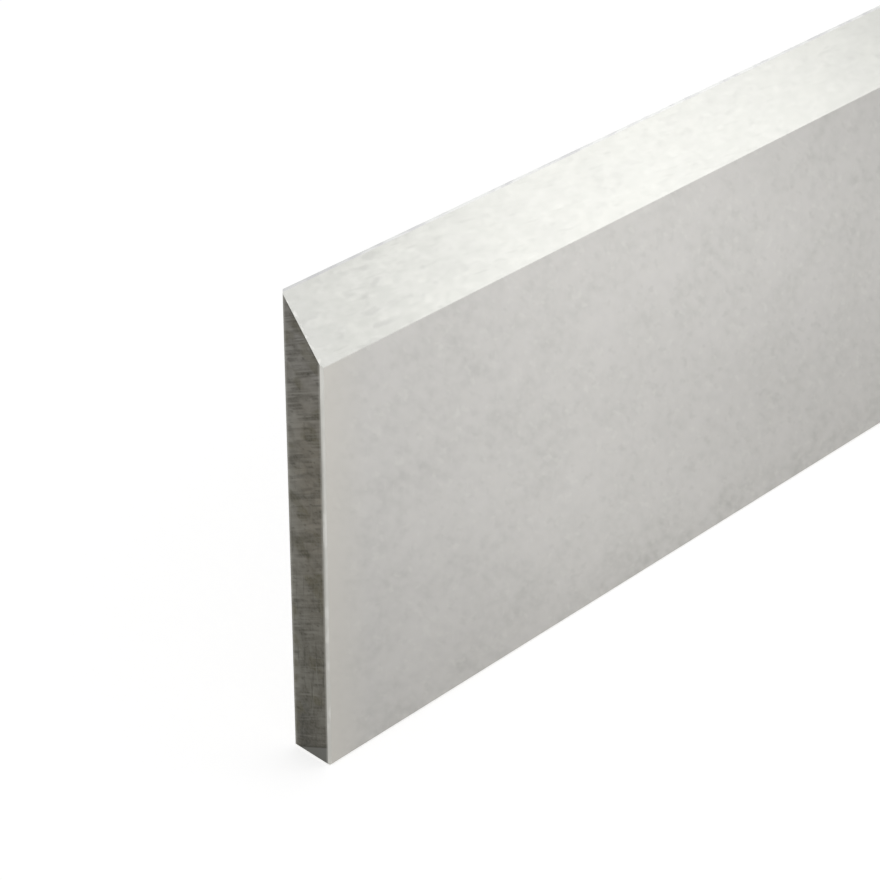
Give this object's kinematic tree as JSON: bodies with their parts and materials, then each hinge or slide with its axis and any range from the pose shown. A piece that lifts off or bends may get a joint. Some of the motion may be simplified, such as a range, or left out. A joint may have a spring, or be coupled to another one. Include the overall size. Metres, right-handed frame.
{
  "type": "planer knife",
  "caption": "Straight planer knife: a long, thin bar of ground steel with square ends and a flat back edge, bevelled to the sharp edge that shaves wood when it is clamped in a cutterhead.",
  "frame": {"origin": "middle of the back edge, where the knife stands: the centre of the bounding box's bottom face", "axes": "+X along the knife, +Y out of the flat back face that reaches the cutting edge, -Y out of the bevelled front face, +Z from the back edge to the cutting edge"},
  "size_m": [0.31, 0.003, 0.03],
  "materials": {
    "ground_steel": "fine ground, satin"
  },
  "bodies": {
    "root": {"knife": "ground_steel"}
  },
  "joints": []
}
